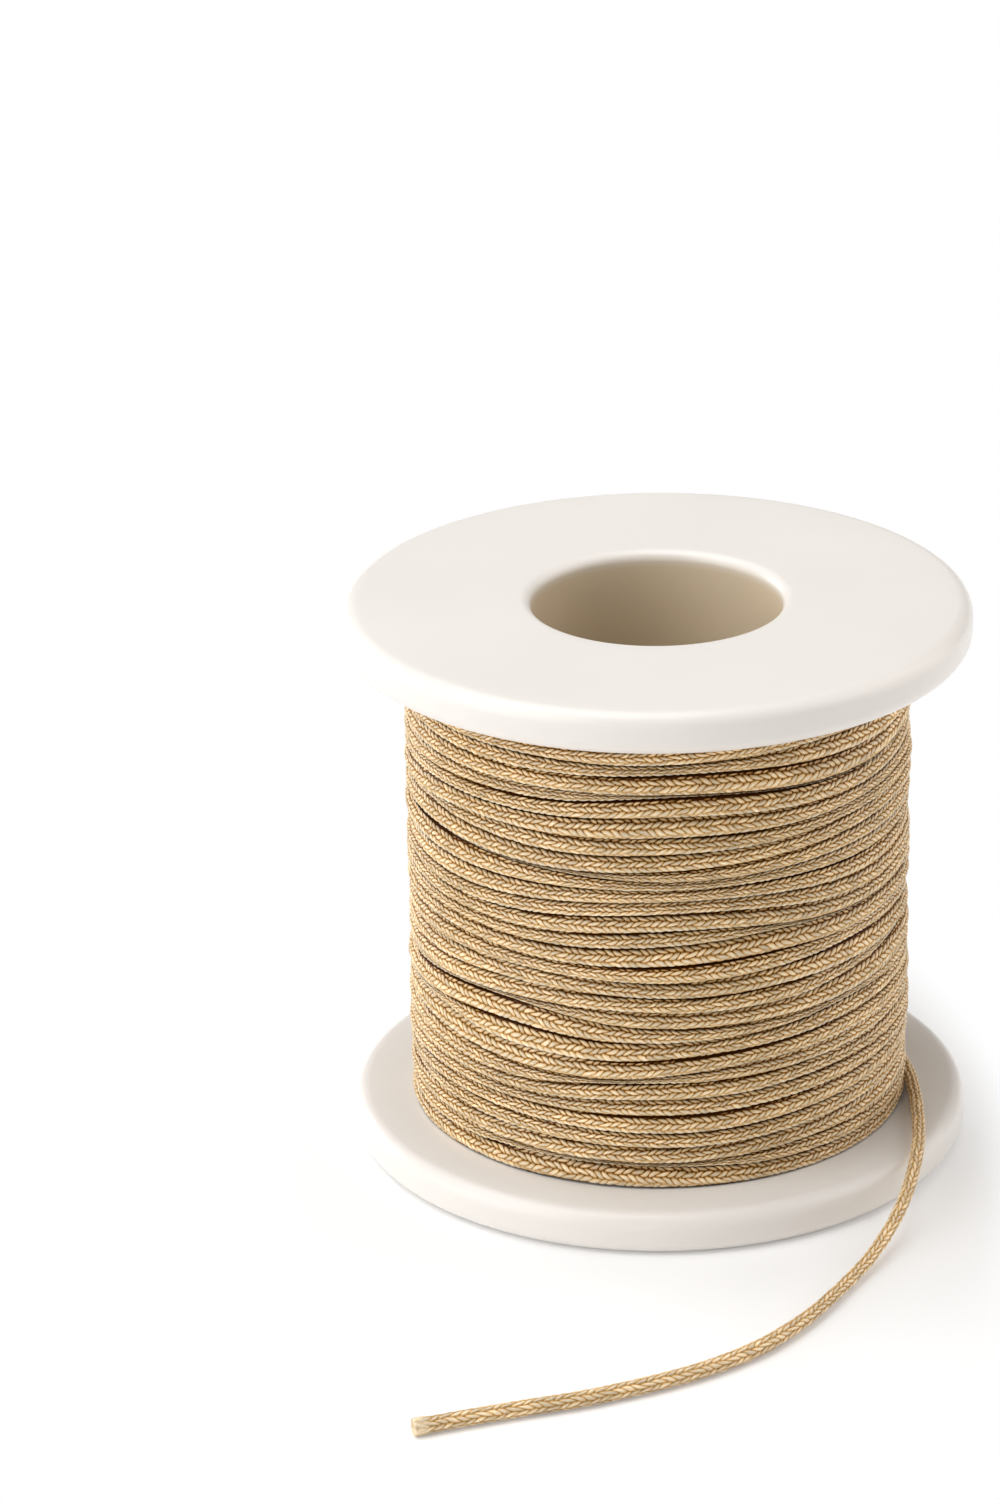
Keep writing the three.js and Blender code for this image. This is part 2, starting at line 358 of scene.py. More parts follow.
def cord_finish(name, crest_painted_highlight, side, shade, gap_painted_shade, painted_shade_brown, bump):
    """Four tones from the yarns' crests, by their sides, to the gaps between them: the crest
    tone is a painted highlight and the gap tone painted shade. Fibres, stitches and long
    stretches of cord are each a little lighter or darker. Where the painted paleness is high
    the gaps are shallower and so paler. Where the painted shade mask is high the colour goes
    on to a dark brown, painted shade in the seams between turns. Only open crests shine:
    their coat is a power of how open they are."""
    painted_paling = 0.55
    side_at = 0.4
    shade_at = 0.7
    stretch_scale = 0.35
    stretch_detail = 2.0
    fibre_height = 0.03
    openness_power = 1.5
    finish = bpy.data.materials.new(name)
    finish.use_nodes = True
    tree = finish.node_tree
    shader = tree.nodes["Principled BSDF"]
    place_on_cord = new_node(tree, "UVMap", uv_map="braid")
    parts = new_node(tree, "SeparateXYZ", place_on_cord.outputs[0])
    braided = tree.nodes.new("ShaderNodeGroup")
    braided.node_tree = braid
    tree.links.new(parts.outputs[0], braided.inputs["Along"])
    tree.links.new(parts.outputs[1], braided.inputs["Around"])
    pattern = braided.outputs

    painted_pale_and_smooth = new_node(tree, "Attribute", attribute_name="painted_pale_and_smooth").outputs["Fac"]
    painted_shade = new_node(tree, "Attribute", attribute_name="painted_shade").outputs["Fac"]
    # The painted paleness makes the gaps shallower and so paler, and the painted shade mask adds to
    # the depth.
    depth_kept = work_out(tree, "MULTIPLY_ADD", painted_pale_and_smooth, -painted_paling, 1)
    depth = work_out(tree, "MULTIPLY", pattern["Depth"], depth_kept)
    depth = work_out(tree, "ADD", depth, painted_shade)
    # The ramp: a painted highlight on the crests, the yarn's colour on the sides, and painted shade
    # towards the gaps.
    tone = new_node(tree, "ValToRGB", depth)
    ramp = tone.color_ramp.elements
    ramp[0].color = linear(*crest_painted_highlight)
    ramp[1].color = linear(*gap_painted_shade)
    ramp.new(side_at).color = linear(*side)
    ramp.new(shade_at).color = linear(*shade)
    stretch = new_node(
        tree,
        "TexNoise",
        None,
        parts.outputs[0],
        stretch_scale,
        stretch_detail,
        noise_dimensions="1D",
    )
    fibre_shade = rescale(tree, pattern["Fibre"], 0.3, 0.7, 0.8, 1.18)
    stitch_shade = rescale(tree, pattern["Stitch"], 0.0, 1.0, 0.8, 1.16)
    stretch_shade = rescale(tree, stretch.outputs[0], 0.3, 0.7, 0.89, 1.08)
    light = work_out(tree, "MULTIPLY", fibre_shade, stitch_shade)
    light = work_out(tree, "MULTIPLY", light, stretch_shade)
    shaded = new_node(tree, "VectorMath", tone.outputs[0], operation="SCALE")
    tree.links.new(light, shaded.inputs["Scale"])
    # Where the painted shade mask is high, the colour goes on to a dark brown painted shade in the
    # seams between turns.
    deepest_painted_shade = rescale(tree, painted_shade, 0.3, 0.75, 0.0, 1.0)
    painted_brown = new_node(tree, "MixRGB", deepest_painted_shade, shaded.outputs[0], linear(*painted_shade_brown))
    tree.links.new(painted_brown.outputs[0], shader.inputs["Base Color"])

    gloss = rescale(tree, pattern["Depth"], 0.0, 1.0, 0.36, 0.8)
    tree.links.new(gloss, shader.inputs["Roughness"])
    height = work_out(tree, "MULTIPLY_ADD", pattern["Fibre"], fibre_height, pattern["Relief"])
    bumped = new_node(tree, "Bump", bump, mm)
    tree.links.new(height, bumped.inputs["Height"])
    tree.links.new(bumped.outputs[0], shader.inputs["Normal"])
    shader.inputs["Specular IOR Level"].default_value = 0.0
    closed = work_out(tree, "MAXIMUM", pattern["Depth"], painted_shade)
    openness = work_out(tree, "SUBTRACT", 1, closed)
    coat = work_out(tree, "POWER", openness, openness_power)
    tree.links.new(coat, shader.inputs["Coat Weight"])
    shader.inputs["Coat Roughness"].default_value = 0.35
    shader.inputs["Coat IOR"].default_value = 1.62
    return finish


# The crest tone is a painted highlight, the shade and gap tones and the darkest brown painted
# shade.
cord_colour = cord_finish(
    "golden beige braid",
    crest_painted_highlight=(250, 231, 199),
    side=(234, 198, 143),
    shade=(190, 141, 76),
    gap_painted_shade=(80, 38, 2),
    painted_shade_brown=(62, 30, 4),
    bump=0.7,
)

tail_sides = 48
tail_step = 0.12 * mm
height_on_table = 1.05 * mm
height_on_flange = 6.5 * mm
settled = 0.2 * mm

# Where the cord is drawn out it is slimmer by a share of its radius, and most of that
# comes back further along.
slimmed = 0.17
slim_by = 12 * mm
fuller_from = 58 * mm
fuller_by = 72 * mm
fuller_again = 0.75

collar_length = 1.9 * mm
collar_smooth = 0.55 * collar_length
collar_radius = 1.03 * cord_radius
# Painted paleness of the free end: painted light for a cord that lies out in the light, and more on
# the smooth collar, which has no gaps.
tail_painted_pale = 0.45
collar_smooth_pale = 0.9

# The sealed cut, from its rounded edge to the middle of the dish: how far each ring is
# past the end of the route, in millimetres, and its share of the collar's radius.
cut_profile = [
    (0.06, 0.99),
    (0.11, 0.95),
    (0.14, 0.88),
    (0.13, 0.76),
    (0.08, 0.6),
    (0.05, 0.4),
    (0.05, 0.12),
]

# The slimmer stretch lies a little lower on the flange than the route does.
tail_points = np.array(route) * mm
tail_points[:, 2] -= settled * ease(tail_points[:, 2], height_on_table, height_on_flange)
tail_path, tail_gone = even_path(tail_points, tail_step)
tail_length = tail_gone[-1]


def free_end_mesh():
    """Rings about the route. Each lies square to it, upright, with the braid's relief off
    its radius. The stretch over the flange is drawn out and slimmer. At the end the
    relief fades into the smooth collar, and the cut is a shallow dish inside a rounded
    edge. The painted paleness makes this cord paler than the face of the turns, painted
    light for a cord that lies out in the light, and makes its smooth collar palest."""
    heading = np.gradient(tail_path, axis=0)
    heading /= np.linalg.norm(heading, axis=1, keepdims=True)
    outer = np.cross(heading, [0, 0, 1])
    outer /= np.linalg.norm(outer, axis=1, keepdims=True)
    upward = np.cross(outer, heading)
    turn = np.arange(tail_sides + 1) / tail_sides
    along, around = np.meshgrid(tail_gone / braid_lead, turn, indexing="ij")
    along, around = uneven_stitches(along, around)
    sealed = ease(tail_gone, tail_length - collar_length, tail_length - collar_smooth)
    relief = braid_relief(along, around)[:, :-1] * (1 - sealed[:, None])
    fuller = fuller_again * ease(tail_gone, fuller_from, fuller_by)
    slimmer = slimmed * ease(tail_gone, 0, slim_by) * (1 - fuller)
    girth = cord_radius * (1 - slimmer) * (1 - sealed) + collar_radius * sealed
    radius = girth[:, None] + relief
    angle = 2 * math.pi * turn[None, :-1, None]
    spokes = np.cos(angle) * outer[:, None] + np.sin(angle) * upward[:, None]
    rings = tail_path[:, None] + radius[..., None] * spokes
    past_end, inwards = np.array(cut_profile).T[:, :, None, None]
    cut = tail_path[-1] + past_end * mm * heading[-1] + inwards * collar_radius * spokes[-1]
    rings = np.concatenate([rings, cut])
    along = np.vstack([along, np.repeat(along[-1:], len(cut), axis=0)])
    around = np.vstack([around, np.repeat(around[-1:], len(cut), axis=0)])
    mesh = skin_mesh("cord_tail_braid", rings, along, around, sharp_ends=False)
    sealed = np.append(sealed, np.ones(len(cut)))
    painted_pale_and_smooth = tail_painted_pale + collar_smooth_pale * np.repeat(sealed, tail_sides)
    attribute = mesh.attributes.new("painted_pale_and_smooth", "FLOAT", "POINT")
    attribute.data.foreach_set("value", painted_pale_and_smooth.astype(np.float32))
    return mesh


free_end = place("cord_tail_braid", free_end_mesh(), cord_colour, "cord_tail")


# OUTER TURNS OF THE CORD
# The same cord, wound by machine in one unbroken run and pressed against its
# neighbours. Turns lie flat at the flanges and in a helix between them. Where one slips
# down between its neighbours, only a strip of it shows.
spool_height = 68.6 * mm
flange_thickness = 5.2 * mm
winding_radius = 30.25 * mm
flange_gap = 0.1 * mm
exit_angle = math.radians(16)
turn_count = 31
steps_a_turn = 960
crossover = 1 / 9
half_thickness = 0.93 * mm


def wander(turns, slowest, fastest, seed):
    """Smooth, irregular swings of about one either way: a sum of cosines of random
    frequencies, between the two given a turn, and random phases."""
    waves = 9
    usual_peak = 1.4
    rng = np.random.default_rng(seed)
    rates = rng.uniform(slowest, fastest, waves)
    phases = rng.uniform(0, 2 * math.pi, waves)
    angles = 2 * math.pi * turns[..., None] * rates + phases
    return np.cos(angles).sum(axis=-1) * math.sqrt(2 / waves) / usual_peak


# A row of each grid is one turn, from the free end at the lower flange upwards, and back
# is how many turns back from the free end a step lies.
whole_turns = np.arange(turn_count)[:, None]
part_turn = np.arange(steps_a_turn)[None] / steps_a_turn
back = whole_turns + part_turn

# A turn sinks where it is looser than both of its neighbours, except beside a flange,
# where it is held.
held_below = (0.9, 1.8)
held_above = (2.6, 1.6)
swings_a_turn = (0.5, 2.4)
loose_enough = (0.45, 1.0)
free_below = ease(back, *held_below)
free_above = 1 - ease(back, turn_count - held_above[0], turn_count - held_above[1])
free_to_sink = np.minimum(free_below, free_above)
looseness, looseness_above, looseness_below = (
    wander(back + off, *swings_a_turn, seed=28) for off in (0, 1, -1)
)
looser = looseness - np.maximum(looseness_above, looseness_below)
sunk = free_to_sink * ease(looser, *loose_enough)

# The edge under each turn lies on the widths of all the turns below it, which together
# fill the space between the flanges. Within the last ninth of a turn, the cord steps up
# over the turn below.
sunk_width = 0.08
width_swing = 0.1
width_swings_a_turn = (0.4, 1.6)
width = 1 + width_swing * wander(back, *width_swings_a_turn, seed=12)
width *= 1 - (1 - sunk_width) * sunk
step_over = ease(part_turn[0], 1 - crossover, 1)
under = np.cumsum(width, axis=0) - width
stack = step_over * width[0, 0] + under[-1] + (1 - step_over) * width[-1]
space_low = flange_thickness + flange_gap
space_high = spool_height - flange_thickness - flange_gap
space = space_high - space_low
tightness = space / stack
bottom_edge = space_low + tightness * (step_over * width[0, 0] + under)

# Most of what the edges have drifted from even spacing, averaged over nearby turns, is
# taken back. Then they are smoothed along the run, because the cord bends stiffly.
levelled = 0.8
levelled_turns = 2.5
levelled_edge = 3
stiff_steps = 30
even_edge = space_low + space * (whole_turns + step_over) / turn_count
nearness = np.exp(-0.5 * ((whole_turns - whole_turns.T) / levelled_turns) ** 2)
nearness /= nearness.sum(axis=1, keepdims=True)
clear_of_flange = ease(back, 0, levelled_edge)
clear_of_flange *= 1 - ease(back, turn_count - levelled_edge, turn_count)
bottom_edge -= levelled * clear_of_flange * (nearness @ (bottom_edge - even_edge))
bend = np.arange(-3 * stiff_steps, 3 * stiff_steps + 1)
bend_weight = np.exp(-0.5 * (bend / stiff_steps) ** 2)
bend_weight /= bend_weight.sum()
run = np.pad(bottom_edge.reshape(-1), 3 * stiff_steps, mode="edge")
bottom_edge = np.convolve(run, bend_weight, mode="valid").reshape(back.shape)
top_edge = np.vstack([bottom_edge[1:], np.full((1, steps_a_turn), space_high)])

# How far an even helix lies above turns that step over all at once, less its average,
# and six waves that bend the turns: how many go round, how high each is, how far it
# bends them, and where it starts.
helix_gain = part_turn - step_over
helix_gain = (helix_gain - helix_gain.mean()) * tightness
meander_turns = np.array([1, 2, 3, 2, 4, 3])
meander_heights = np.array([31, 23, 17, 14, 19, 12]) * mm
meander_sizes = np.array([0.6, 0.5, 0.3, 0.24, 0.2, 0.18]) * mm
meander_phases = np.random.default_rng(13).uniform(0, 2 * math.pi, (2, 6))


def settle(height):
    """Moves the even layout as hand and tension leave it. A height gains the helix times
    the half sine of how far up the winding it lies, and a sum of waves round and up the
    winding times the root of that, so that both fade towards the flanges."""
    level = (height - space_low) / space
    free = np.sin(math.pi * np.clip(level, 0, 1))
    round_wave = np.cos(2 * math.pi * part_turn[..., None] * meander_turns + meander_phases[0])
    up_wave = np.sin(2 * math.pi * height[..., None] / meander_heights + meander_phases[1])
    meander = (round_wave * up_wave * meander_sizes).sum(axis=-1)
    return height + free * helix_gain + free**0.5 * meander


sunk_depth = 0.35 * mm
rise_swing = 0.18 * mm
bottom_edge, top_edge = settle(bottom_edge), settle(top_edge)
turn_height = (bottom_edge + top_edge) / 2
half_width = (top_edge - bottom_edge) / 2
turn_radius = winding_radius - half_thickness - sunk_depth * sunk**0.7
turn_radius += rise_swing * wander(back, *swings_a_turn, seed=14) * free_to_sink

# The run stops before it would step up again. At its lower end it is as round as the
# free end, and at its upper end it dives in between the turns.
pressed_turns = (0.02, 0.09)
dive_turns = 0.12
dive_depth = 1.4 * mm
last_step = turn_count * steps_a_turn - round(crossover * steps_a_turn)
back, turn_height, half_width, turn_radius = (
    grid.reshape(-1)[:last_step] for grid in (back, turn_height, half_width, turn_radius)
)
roundness = 1 - ease(back, *pressed_turns)
half_width += roundness * (cord_radius - half_width)
turn_radius += roundness * (winding_radius - cord_radius - turn_radius)
turn_height += roundness * (space_low + cord_radius - turn_height)
half_depth = half_thickness + roundness * (cord_radius - half_thickness)
turn_radius -= dive_depth * ease(back, back[-1] - dive_turns, back[-1])
turn_angle = exit_angle + 2 * math.pi * back

join_rings = 12
shown_sides = 16
hidden_sides = 5
square_above = 2.1
square_below = 8.0
lean = 0.24 * mm
flat_lead = 8.0 * mm
flat_girth = 5.4 * mm
twist = 0.35
twist_swings_a_turn = (0.2, 0.9)
twist_by = 60 * mm

# Places round the section are in degrees: 0 faces outwards, 90 up and -90 down.
shown_to = 85
relief_fades = (45, 70)
fades_most = 0.85
# Painted shade: a little on the upper face of each turn, and a dark seam above and below it.
painted_shade_above = (0, 45)
painted_shade_share = 0.2
painted_seam_above = (50, 57)
painted_seam_below = (45, 55)
painted_seam_swing = 6
painted_seam_swings_a_turn = (1.1, 5)
# A painted highlight along the lower edge of each turn, where it stands out.
painted_edge_highlight = (28, 36)
painted_edge_most = 1.1


def turn_rings():
    """Rings of the pressed section across the run of the cord: a superellipse, squarer
    below than above, whose lower edge stands out over the turn under it. The side that
    shows has more points than the hidden one, and the braid's relief comes off it all
    round, fainter towards the seams. A straight end meets the free end of the cord.
    The painted shade mask rises from 0 on the open face to 1 in the seams above and below,
    the upper one uneven, with a little painted shade on the upper face. The painted paleness
    is a painted highlight, high on the lower edge that stands out."""
    outward = np.stack([np.cos(turn_angle), np.sin(turn_angle), 0 * turn_angle], axis=1)
    centre = outward * turn_radius[:, None]
    centre[:, 2] = turn_height
    join = np.linspace(0, 1, join_rings, endpoint=False)[:, None]
    straight = tail_path[0] + join * (centre[0] - tail_path[0])
    centre = np.vstack([straight, centre])

    def lead_in(values):
        """Repeats the first of the values over the straight end."""
        return np.concatenate([np.repeat(values[:1], join_rings, axis=0), values])

    outward = lead_in(outward)
    high, deep = lead_in(half_width), lead_in(half_depth)
    shown_side = np.linspace(-shown_to, shown_to, shown_sides + 1)
    hidden_side = np.linspace(shown_to, 360 - shown_to, hidden_sides + 1)[1:]
    angle = np.radians(np.concatenate([shown_side, hidden_side]))
    cosine, sine = np.cos(angle)[None, :-1], np.sin(angle)[None, :-1]
    tightly = (1 - lead_in(roundness))[:, None]
    pressed = np.where(sine < 0, square_below, square_above)

    def section(power):
        """How far out a superellipse lies in each direction: one over the root, to its
        power, of the summed powers of the cosine and the sine."""
        return (np.abs(cosine) ** power + np.abs(sine) ** power) ** (-1 / power)

    # The braid's map: the way gone along the cord, and the way round its pressed face.
    steps = np.linalg.norm(np.diff(centre, axis=0), axis=1)
    gone = np.append(0, np.cumsum(steps))
    twisted = twist * wander(lead_in(back), *twist_swings_a_turn, seed=15)
    twisted *= ease(gone, 0, twist_by)
    flat_out = cord_radius * section(pressed) * cosine
    flat_up = cord_radius * section(pressed) * sine
    face_out = np.diff(flat_out, append=flat_out[:, :1])
    face_up = np.diff(flat_up, append=flat_up[:, :1])
    round_it = np.append(0, np.cumsum(np.hypot(face_out, face_up)))
    round_it -= np.interp(0, angle, round_it)
    along = np.repeat(-gone[:, None] / flat_lead, len(angle), axis=1)
    around = 0.5 - round_it[None] / flat_girth + twisted[:, None]
    along, around = uneven_stitches(along, around)

    tilt = np.degrees(angle[None, :-1])
    # The painted shade mask: a little on the upper face, and dark seams above and below, the upper
    # one uneven.
    shift = painted_seam_swing * wander(lead_in(back), *painted_seam_swings_a_turn, seed=16)[:, None]
    painted_above = painted_shade_share * ease(tilt, *painted_shade_above)
    painted_above = painted_above + (1 - painted_shade_share) * ease(tilt - shift, *painted_seam_above)
    painted_shade = tightly * np.maximum(painted_above, ease(-tilt, *painted_seam_below))
    # Painted highlight on the lower edge that stands out.
    painted_pale_and_smooth = painted_edge_most * tightly * ease(-tilt, *painted_edge_highlight)

    faded = fades_most * tightly * ease(np.abs(tilt), *relief_fades)
    relief = braid_relief(along, around)[:, :-1] * (1 - faded)
    reach = section(2 + (pressed - 2) * tightly)
    out = reach * cosine * deep[:, None] + relief * cosine - lean * tightly * reach * sine
    up = reach * sine * high[:, None] + relief * sine
    rings = centre[:, None] + out[..., None] * outward[:, None]
    rings[..., 2] += up
    return rings, along, around, painted_shade, painted_pale_and_smooth


# The one run is cut into pieces of equal length, to keep each mesh small.
turn_pieces = 7
rings, along, around, painted_shade, painted_pale_and_smooth = turn_rings()
cuts = np.linspace(0, len(rings) - 1, turn_pieces + 1).astype(int)
for number in range(turn_pieces):
    stretch = slice(cuts[number], cuts[number + 1] + 1)
    name = f"cord_turns_{number + 1}"
    mesh = skin_mesh(name, rings[stretch], along[stretch], around[stretch])
    for mask, values in (("painted_shade", painted_shade), ("painted_pale_and_smooth", painted_pale_and_smooth)):
        attribute = mesh.attributes.new(mask, "FLOAT", "POINT")
        attribute.data.foreach_set("value", values[stretch].reshape(-1).astype(np.float32))
    place(name, mesh, cord_colour, "cord_outer_turns")


# INNER LAYERS OF THE CORD
# What shows of the layers underneath is the top of one more, wound the other way, in the
# shade between the outer turns.
core_radius = 28.1 * mm
core_rib = 0.3 * mm
core_pitch = 2.15 * mm
core_rings = 150
core_sides = 192
core_inside = 19.8 * mm


def grid_mesh(name, points):
    """A closed skin over a grid of points. Its first direction runs anticlockwise about
    the spool's axis. Its second runs anticlockwise round the outline that is turned about
    the axis, seen with the axis on the left, so that faces point outwards."""
    count, across = points.shape[:2]
    i, j = np.meshgrid(np.arange(count), np.arange(across), indexing="ij")
    i_next, j_next = (i + 1) % count, (j + 1) % across
    faces = np.stack(
        [i * across + j, i_next * across + j, i_next * across + j_next, i * across + j_next],
        axis=-1,
    ).reshape(-1, 4)
    mesh = bpy.data.meshes.new(name)
    mesh.vertices.add(count * across)
    mesh.vertices.foreach_set("co", points.reshape(-1).astype(np.float32))
    mesh.loops.add(faces.size)
    mesh.loops.foreach_set("vertex_index", faces.reshape(-1).astype(np.int32))
    mesh.polygons.add(len(faces))
    mesh.polygons.foreach_set("loop_start", np.arange(len(faces), dtype=np.int32) * 4)
    mesh.update(calc_edges=True)
    mesh.validate()
    return mesh


def core_mesh():
    """A ring about the spool's axis. Its outer wall is ribbed by turns: the radius grows by
    the square root of half a sine wave to each pitch, and the ribs fall a pitch in a turn."""
    turned = np.arange(core_sides) / core_sides
    height = np.linspace(space_low, space_high, core_rings)
    phase = height[None] / core_pitch + turned[:, None]
    rib = np.sqrt(np.abs(np.sin(math.pi * phase)))
    radius = core_radius - core_rib + core_rib * rib
    radius = np.hstack([radius, np.full((core_sides, 2), core_inside)])
    height = np.append(height, [space_high, space_low])
    angle = 2 * math.pi * turned[:, None]
    points = np.stack(
        [radius * np.cos(angle), radius * np.sin(angle), np.broadcast_to(height, radius.shape)],
        axis=-1,
    )
    return grid_mesh("cord_layers_under", points)


def shaded_finish():
    """The cord's colour in deep shade, mottled by noise of about a millimetre."""
    mottle_scale = 900.0
    mottle_detail = 3.0
    darker_tan = linear(120, 88, 50)
    lighter_tan = linear(170, 132, 86)
    finish = bpy.data.materials.new("braid in the shade")
    finish.use_nodes = True
    tree = finish.node_tree
    shader = tree.nodes["Principled BSDF"]
    where = new_node(tree, "TexCoord").outputs["Object"]
    mottle = new_node(tree, "TexNoise", where, None, mottle_scale, mottle_detail)
    colour = new_node(tree, "MixRGB", mottle.outputs[0], darker_tan, lighter_tan)
    tree.links.new(colour.outputs[0], shader.inputs["Base Color"])
    shader.inputs["Roughness"].default_value = 0.8
    return finish


place("cord_layers_under", core_mesh(), shaded_finish(), "cord_inner_layers")


# FLANGES
# Two like mouldings of warm white plastic, softly glossy, with a rounded rim and bore. A
# spigot with four keys at its root pushes into the barrel. Tan is painted into the bore
# near its ends: painted shade, warmed as by the cord's light through the thin wall.
flange_radius = 37.5 * mm
rim_radius = 1.9 * mm
bore_radius = 15.0 * mm
lip_radius = 1.3 * mm
spigot_radius = 17.0 * mm
spigot_length = 15.0 * mm
spigot_chamfer = 0.6 * mm
bore_chamfer = 0.2 * mm
key_radius = 19.2 * mm
key_height = 3.0 * mm
key_width = 4.0 * mm
key_margin = 0.3 * mm
key_count = 4
crease = 0.01 * mm
turned_sides = 288


def arc(radius, height, size, start, end):
    """Points of a round of the given size, from one angle to another in quarter turns."""
    steps = 12
    angle = np.linspace(start, end, steps + 1) * math.pi / 2
    return np.stack([radius + size * np.cos(angle), height + size * np.sin(angle)], axis=1)


def straight_line(start, end, steps):
    """Even points between two ends, without the ends."""
    gone = np.arange(1, steps)[:, None] / steps
    return np.array(start) * (1 - gone) + np.array(end) * gone


def near_key(turned, width):
    """1 within a width round the spool where each key stands, and 0 between them."""
    spacing = 1 / key_count
    off = np.abs((turned % spacing) - spacing / 2) * 2 * math.pi * key_radius
    return (off < width / 2).astype(float)


def flange_mesh(name, turned_over):
    """The moulding's outline turned about the axis. At the keys, the three points where
    the face meets the spigot move out, out and up, and up."""
    face = flange_thickness
    rim = flange_radius - rim_radius
    end = face + spigot_length
    lip = arc(bore_radius + lip_radius, lip_radius, lip_radius, 2, 3)
    low_rim = arc(rim, rim_radius, rim_radius, 3, 4)
    high_rim = arc(rim, face - rim_radius, rim_radius, 0, 1)
    beside_keys = [key_radius + key_margin, face]
    disc = np.vstack(
        [
            lip,
            straight_line(lip[-1], low_rim[0], 10),
            low_rim,
            straight_line(low_rim[-1], high_rim[0], 3),
            high_rim,
            straight_line(high_rim[-1], beside_keys, 8),
            beside_keys,
        ]
    )
    root = np.array(
        [
            [spigot_radius + 2 * crease, face],
            [spigot_radius + crease, face + crease],
            [spigot_radius, face + 2 * crease],
        ]
    )
    spigot = np.vstack(
        [
            straight_line(root[-1], [spigot_radius, end - spigot_chamfer], 8),
            [[spigot_radius, end - spigot_chamfer], [spigot_radius - spigot_chamfer, end]],
            [[bore_radius + bore_chamfer, end], [bore_radius, end - bore_chamfer]],
            straight_line([bore_radius, end - bore_chamfer], lip[0], 12),
        ]
    )
    outline = np.vstack([disc, root, spigot])
    turned = np.arange(turned_sides) / turned_sides
    points = np.repeat(outline[None], turned_sides, axis=0)
    first = len(disc)
    key = near_key(turned, key_width)
    points[:, first, 0] += key * (key_radius - spigot_radius)
    points[:, first + 1, 0] += key * (key_radius - spigot_radius)
    points[:, first + 1, 1] += key * key_height
    points[:, first + 2, 1] += key * key_height
    if turned_over:
        points = points[:, ::-1].copy()
        points[..., 1] = spool_height - points[..., 1]
    angle = 2 * math.pi * turned[:, None]
    radius, height = points[..., 0], points[..., 1]
    skin = np.stack([radius * np.cos(angle), radius * np.sin(angle), height], axis=-1)
    return grid_mesh(name, skin)


def plastic_finish():
    """Warm white plastic, with a faint mottle in its colour and gloss. Inside the bore it
    turns tan within two millimetres of either end: painted shade, warmed as by the cord's
    light through the thin wall."""
    cloud_scale = 45.0
    cloud_detail = 3.0
    tan_from = 0.4 * mm
    tan_by = 2.0 * mm
    painted_tan_share = 0.85
    tan_within = spigot_radius + 0.5 * mm
    darker_white = linear(238, 233, 227)
    lighter_white = linear(243, 239, 234)
    # Tan painted into the bore: painted shade, warmed as by the cord's light through the wall.
    bore_painted_tan = linear(217, 198, 166)
    finish = bpy.data.materials.new("warm white plastic")
    finish.use_nodes = True
    tree = finish.node_tree
    shader = tree.nodes["Principled BSDF"]
    where = new_node(tree, "TexCoord").outputs["Object"]
    cloud = new_node(tree, "TexNoise", where, None, cloud_scale, cloud_detail)
    body = new_node(tree, "MixRGB", cloud.outputs[0], darker_white, lighter_white)
    parts = new_node(tree, "SeparateXYZ", where)
    flat = new_node(tree, "VectorMath", where, (1.0, 1.0, 0.0), operation="MULTIPLY")
    length = new_node(tree, "VectorMath", flat.outputs[0], operation="LENGTH")
    off_axis = length.outputs["Value"]
    # Where the painted tan goes: inside the bore, near either end.
    inside = work_out(tree, "LESS_THAN", off_axis, tan_within)
    from_top = work_out(tree, "SUBTRACT", spool_height, parts.outputs[2])
    down_bore = work_out(tree, "MINIMUM", parts.outputs[2], from_top)
    tan_here = rescale(tree, down_bore, tan_from, tan_by, 0.0, painted_tan_share)
    painted_tint = work_out(tree, "MULTIPLY", inside, tan_here)
    colour = new_node(tree, "MixRGB", painted_tint, body.outputs[0], bore_painted_tan)
    tree.links.new(colour.outputs[0], shader.inputs["Base Color"])
    gloss = rescale(tree, cloud.outputs[0], 0.0, 1.0, 0.24, 0.36)
    tree.links.new(gloss, shader.inputs["Roughness"])
    shader.inputs["IOR"].default_value = 1.49
    return finish


white_plastic = plastic_finish()
for name, node, turned_over in (
    ("flange_bottom_shell", "flange_bottom", False),
    ("flange_top_shell", "flange_top", True),
):
    place(name, flange_mesh(name, turned_over), white_plastic, node)


# BARREL
# A plain tube of the same plastic between the flanges, under the cord. Notches in its
# ends take the flanges' keys.
barrel_inner_radius = 17.3 * mm
barrel_outer_radius = 19.5 * mm
barrel_gap = 0.3 * mm
barrel_seat = flange_thickness + barrel_gap
notch_width = 4.6 * mm
notch_height = 3.3 * mm
barrel_rows = 9


def barrel_mesh():
    """The wall's outline turned about the axis, up its outside and down its inside, with
    its ends cut back where the keys stand."""
    turned = np.arange(turned_sides) / turned_sides
    notch = near_key(turned, notch_width)[:, None] * notch_height
    top = spool_height - barrel_seat
    upwards = np.linspace(barrel_seat, top, barrel_rows)
    downwards = np.linspace(top, barrel_seat, barrel_rows)
    height = np.concatenate([upwards, downwards])
    height = np.repeat(height[None], turned_sides, axis=0)
    height = np.clip(height, barrel_seat + notch, top - notch)
    radius = np.repeat([barrel_outer_radius, barrel_inner_radius], barrel_rows)[None]
    angle = 2 * math.pi * turned[:, None]
    points = np.stack([radius * np.cos(angle), radius * np.sin(angle), height], axis=-1)
    return grid_mesh("barrel_wall", points)


place("barrel_wall", barrel_mesh(), white_plastic, "barrel_tube")


# TABLE, LIGHT AND BACKGROUND
# White paper under soft white lamps, in a white studio. The paper takes shadow only near
# the spool's foot and the free end. Further out it gives off plain white, and so it runs
# into the background.
table_reach = 3.0
table_mesh = bpy.data.meshes.new("table")
table_mesh.from_pydata(
    [
        (-table_reach, -table_reach, 0),
        (table_reach, -table_reach, 0),
        (table_reach, table_reach, 0),
        (-table_reach, table_reach, 0),
    ],
    [],
    [(0, 1, 2, 3)],
)
table = bpy.data.objects.new("table", table_mesh)
bpy.context.scene.collection.objects.link(table)


